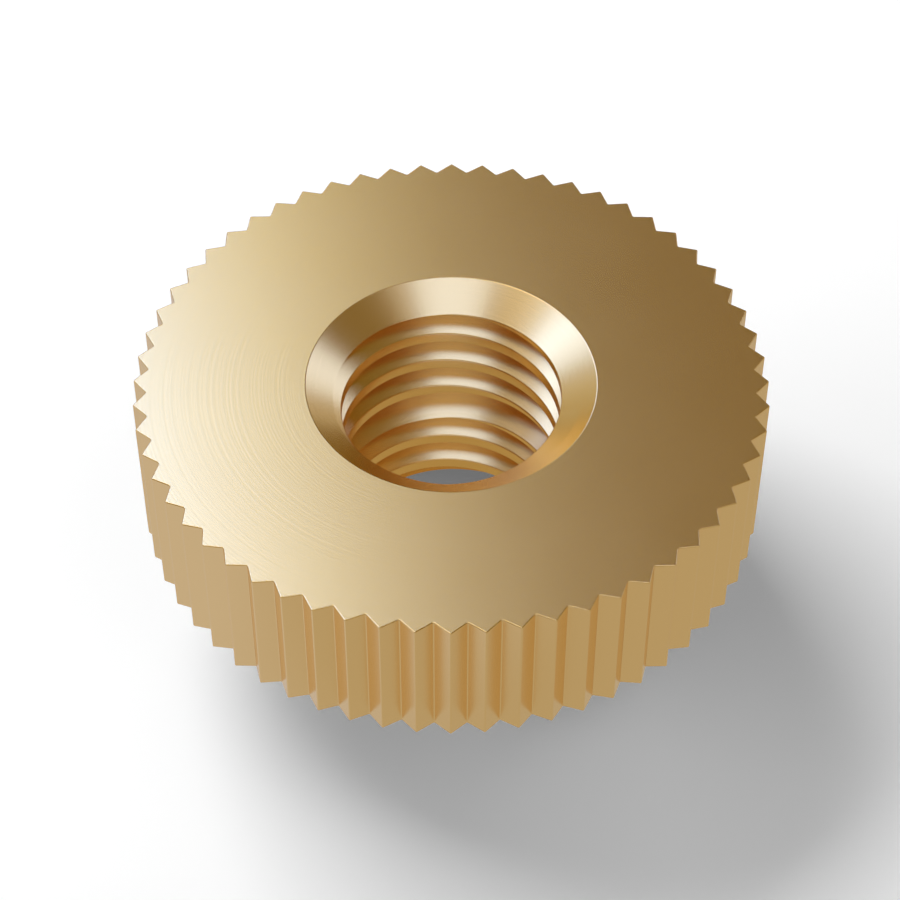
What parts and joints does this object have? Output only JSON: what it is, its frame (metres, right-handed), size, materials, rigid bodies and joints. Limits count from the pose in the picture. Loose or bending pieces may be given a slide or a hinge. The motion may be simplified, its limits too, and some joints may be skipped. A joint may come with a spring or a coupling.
{
  "type": "knurled thumb nut",
  "caption": "Round thumb nut with a straight-knurled head, a plain collar below it and a threaded hole countersunk at both ends.",
  "frame": {"origin": "centre of the collar's end face, which the nut stands on", "axes": "+Z along the thread axis, from the collar towards the knurled head's top face; +Y runs through one knurl tip"},
  "size_m": [0.024, 0.024, 0.011],
  "materials": {
    "brass": "fine turned and lightly polished"
  },
  "bodies": {
    "root": {"thumb_nut": "brass"}
  },
  "joints": []
}
